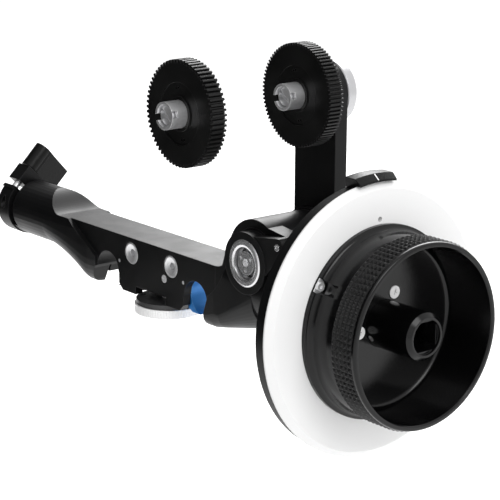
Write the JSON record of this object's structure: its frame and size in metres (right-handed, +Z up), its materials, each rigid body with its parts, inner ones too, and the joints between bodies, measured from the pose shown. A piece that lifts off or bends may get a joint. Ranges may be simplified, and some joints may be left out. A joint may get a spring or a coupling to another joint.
{
  "type": "follow focus unit",
  "caption": "Rod-mounted follow focus with a dished handwheel, white marking disc, index ring, gear housing, swing arm and toothed lens gears on a clamp bridge.",
  "frame": {"origin": "midway between the axes of the two support rods, in the middle plane of the bridge bar", "axes": "+X along the bridge towards the handwheel, +Y to the rear along the rods, +Z up"},
  "size_m": [0.2633, 0.1064, 0.1451],
  "materials": {
    "black_satin": "satin",
    "black_knob": "matt, knurled",
    "white_disc": "matt",
    "bright_steel": "satin",
    "bright_alu": "satin",
    "gear_brass": "machined",
    "gear_black": "matt",
    "jaw_blue": "anodised",
    "dark_steel": "blackened steel",
    "white_paint": "paint filled",
    "dark_plate": "satin"
  },
  "bodies": {
    "bridge": {"bridge_bar": "black_satin", "bar_screws": "bright_steel", "jaw_pins": "bright_steel", "guide_screw": "bright_steel", "gear_housing": "black_satin", "housing_bolts": "dark_steel", "front_cover": "black_satin", "port_ring": "bright_steel", "cover_screws": "bright_steel", "wheel_tube_cap": "black_satin", "shaft_bearings": "bright_steel", "output_bearings": "bright_steel", "lay_bushes": "gear_brass", "spare_gear": "gear_black", "spare_gear_hub": "bright_steel", "spare_gear_screw": "bright_steel"},
    "clamp_plate": {"clamp_plate": "dark_plate"},
    "left_jaw": {"left_jaw": "dark_steel"},
    "right_jaw": {"right_jaw": "jaw_blue"},
    "thumb_knob": {"thumb_knob": "bright_alu", "thumb_knob_disc": "black_knob", "clamp_screw": "bright_steel"},
    "clamp_lever": {"clamp_lever": "black_satin", "lever_screw": "bright_steel"},
    "handwheel": {"drive_shaft": "bright_steel", "mitre_pinion": "gear_brass", "marking_disc": "white_disc", "knob_body": "black_knob", "crank_hub": "black_satin", "hub_bolt": "dark_steel", "floor_screws": "white_paint", "flange_screws": "bright_steel", "hub_set_screw": "bright_steel"},
    "index_ring": {"index_ring": "black_satin", "index_block": "black_satin", "index_mark": "white_paint"},
    "lay_shaft": {"lay_shaft": "bright_steel", "mitre_wheel": "gear_brass", "transfer_pinion": "gear_brass"},
    "output_shaft": {"output_shaft": "bright_steel", "transfer_wheel": "gear_brass", "port_boss": "bright_steel"},
    "swing_arm": {"arm_body": "black_satin", "arm_cover": "black_satin", "arm_cover_screws": "bright_steel", "gear_pins": "bright_steel"},
    "arm_input_gear": {"arm_input_gear": "gear_brass"},
    "lower_idler": {"lower_idler": "gear_brass"},
    "middle_idler": {"middle_idler": "gear_brass"},
    "upper_idler": {"upper_idler": "gear_brass"},
    "lens_drive": {"lens_shaft": "bright_steel", "arm_output_gear": "gear_brass", "lens_gear": "gear_black", "lens_gear_hub": "bright_steel", "lens_gear_screw": "bright_steel"},
    "lock_knob": {"lock_knob": "bright_alu"}
  },
  "joints": [
    {"name": "handwheel_turn", "type": "hinge", "parent": "bridge", "child": "handwheel", "pos_m": [0.1, 0, 0.0122], "axis": [1, 0, 0], "continuous": true},
    {"name": "index_ring_turn", "type": "hinge", "parent": "bridge", "child": "index_ring", "pos_m": [0.122, 0, 0.0122], "axis": [1, 0, 0], "range_deg": [-90, 90]},
    {"name": "lay_shaft_turn", "type": "hinge", "parent": "bridge", "child": "lay_shaft", "pos_m": [0.0678, 0, 0.0122], "axis": [0, 1, 0], "continuous": true},
    {"name": "output_shaft_turn", "type": "hinge", "parent": "bridge", "child": "output_shaft", "pos_m": [0.0678, 0, 0.0237], "axis": [0, 1, 0], "continuous": true},
    {"name": "arm_swing", "type": "hinge", "parent": "bridge", "child": "swing_arm", "pos_m": [0.0678, 0.0228, 0.0237], "axis": [0, 1, 0], "range_deg": [-75, 30]},
    {"name": "arm_input_gear_turn", "type": "hinge", "parent": "swing_arm", "child": "arm_input_gear", "pos_m": [0.0678, 0.0228, 0.0237], "axis": [0, 1, 0], "continuous": true},
    {"name": "lower_idler_turn", "type": "hinge", "parent": "swing_arm", "child": "lower_idler", "pos_m": [0.0678, 0.0228, 0.0392], "axis": [0, 1, 0], "continuous": true},
    {"name": "middle_idler_turn", "type": "hinge", "parent": "swing_arm", "child": "middle_idler", "pos_m": [0.0678, 0.0228, 0.0547], "axis": [0, 1, 0], "continuous": true},
    {"name": "upper_idler_turn", "type": "hinge", "parent": "swing_arm", "child": "upper_idler", "pos_m": [0.0678, 0.0228, 0.0702], "axis": [0, 1, 0], "continuous": true},
    {"name": "lens_gear_turn", "type": "hinge", "parent": "swing_arm", "child": "lens_drive", "pos_m": [0.0678, 0.0228, 0.0857], "axis": [0, 1, 0], "continuous": true},
    {"name": "lock_knob_turn", "type": "hinge", "parent": "swing_arm", "child": "lock_knob", "pos_m": [0.0678, 0.0283, 0.0857], "axis": [0, 1, 0], "range_deg": [-180, 0]},
    {"name": "thumb_knob_turn", "type": "hinge", "parent": "bridge", "child": "thumb_knob", "pos_m": [0, 0, -0.009], "axis": [0, 0, 1], "range_deg": [-1080, 0]},
    {"name": "clamp_plate_slide", "type": "slide", "parent": "bridge", "child": "clamp_plate", "axis": [0, 0, 1], "range_m": [0, 0.0024]},
    {"name": "right_jaw_turn", "type": "hinge", "parent": "bridge", "child": "right_jaw", "pos_m": [0.0219, 0, 0.0051], "axis": [0, 1, 0], "range_deg": [0, 9.9]},
    {"name": "left_jaw_turn", "type": "hinge", "parent": "bridge", "child": "left_jaw", "pos_m": [-0.0219, 0, 0.0051], "axis": [0, 1, 0], "range_deg": [-9.9, 0]},
    {"name": "lever_turn", "type": "hinge", "parent": "bridge", "child": "clamp_lever", "pos_m": [-0.10615, -0.00721, 0.01941], "axis": [0, 0.7071, 0.7071], "range_deg": [-75, 0]}
  ],
  "couplings": [
    {"joint": "lay_shaft_turn", "follows": "handwheel_turn", "ratio": -1},
    {"joint": "output_shaft_turn", "follows": "handwheel_turn", "ratio": 1},
    {"joint": "arm_input_gear_turn", "follows": "handwheel_turn", "ratio": 1},
    {"joint": "lower_idler_turn", "follows": "handwheel_turn", "ratio": -1},
    {"joint": "middle_idler_turn", "follows": "handwheel_turn", "ratio": 1},
    {"joint": "upper_idler_turn", "follows": "handwheel_turn", "ratio": -1},
    {"joint": "lens_gear_turn", "follows": "handwheel_turn", "ratio": 1},
    {"joint": "clamp_plate_slide", "follows": "thumb_knob_turn", "m_per_rad": -0.00012732},
    {"joint": "right_jaw_turn", "follows": "thumb_knob_turn", "ratio": -0.0091667},
    {"joint": "left_jaw_turn", "follows": "thumb_knob_turn", "ratio": 0.0091667}
  ]
}
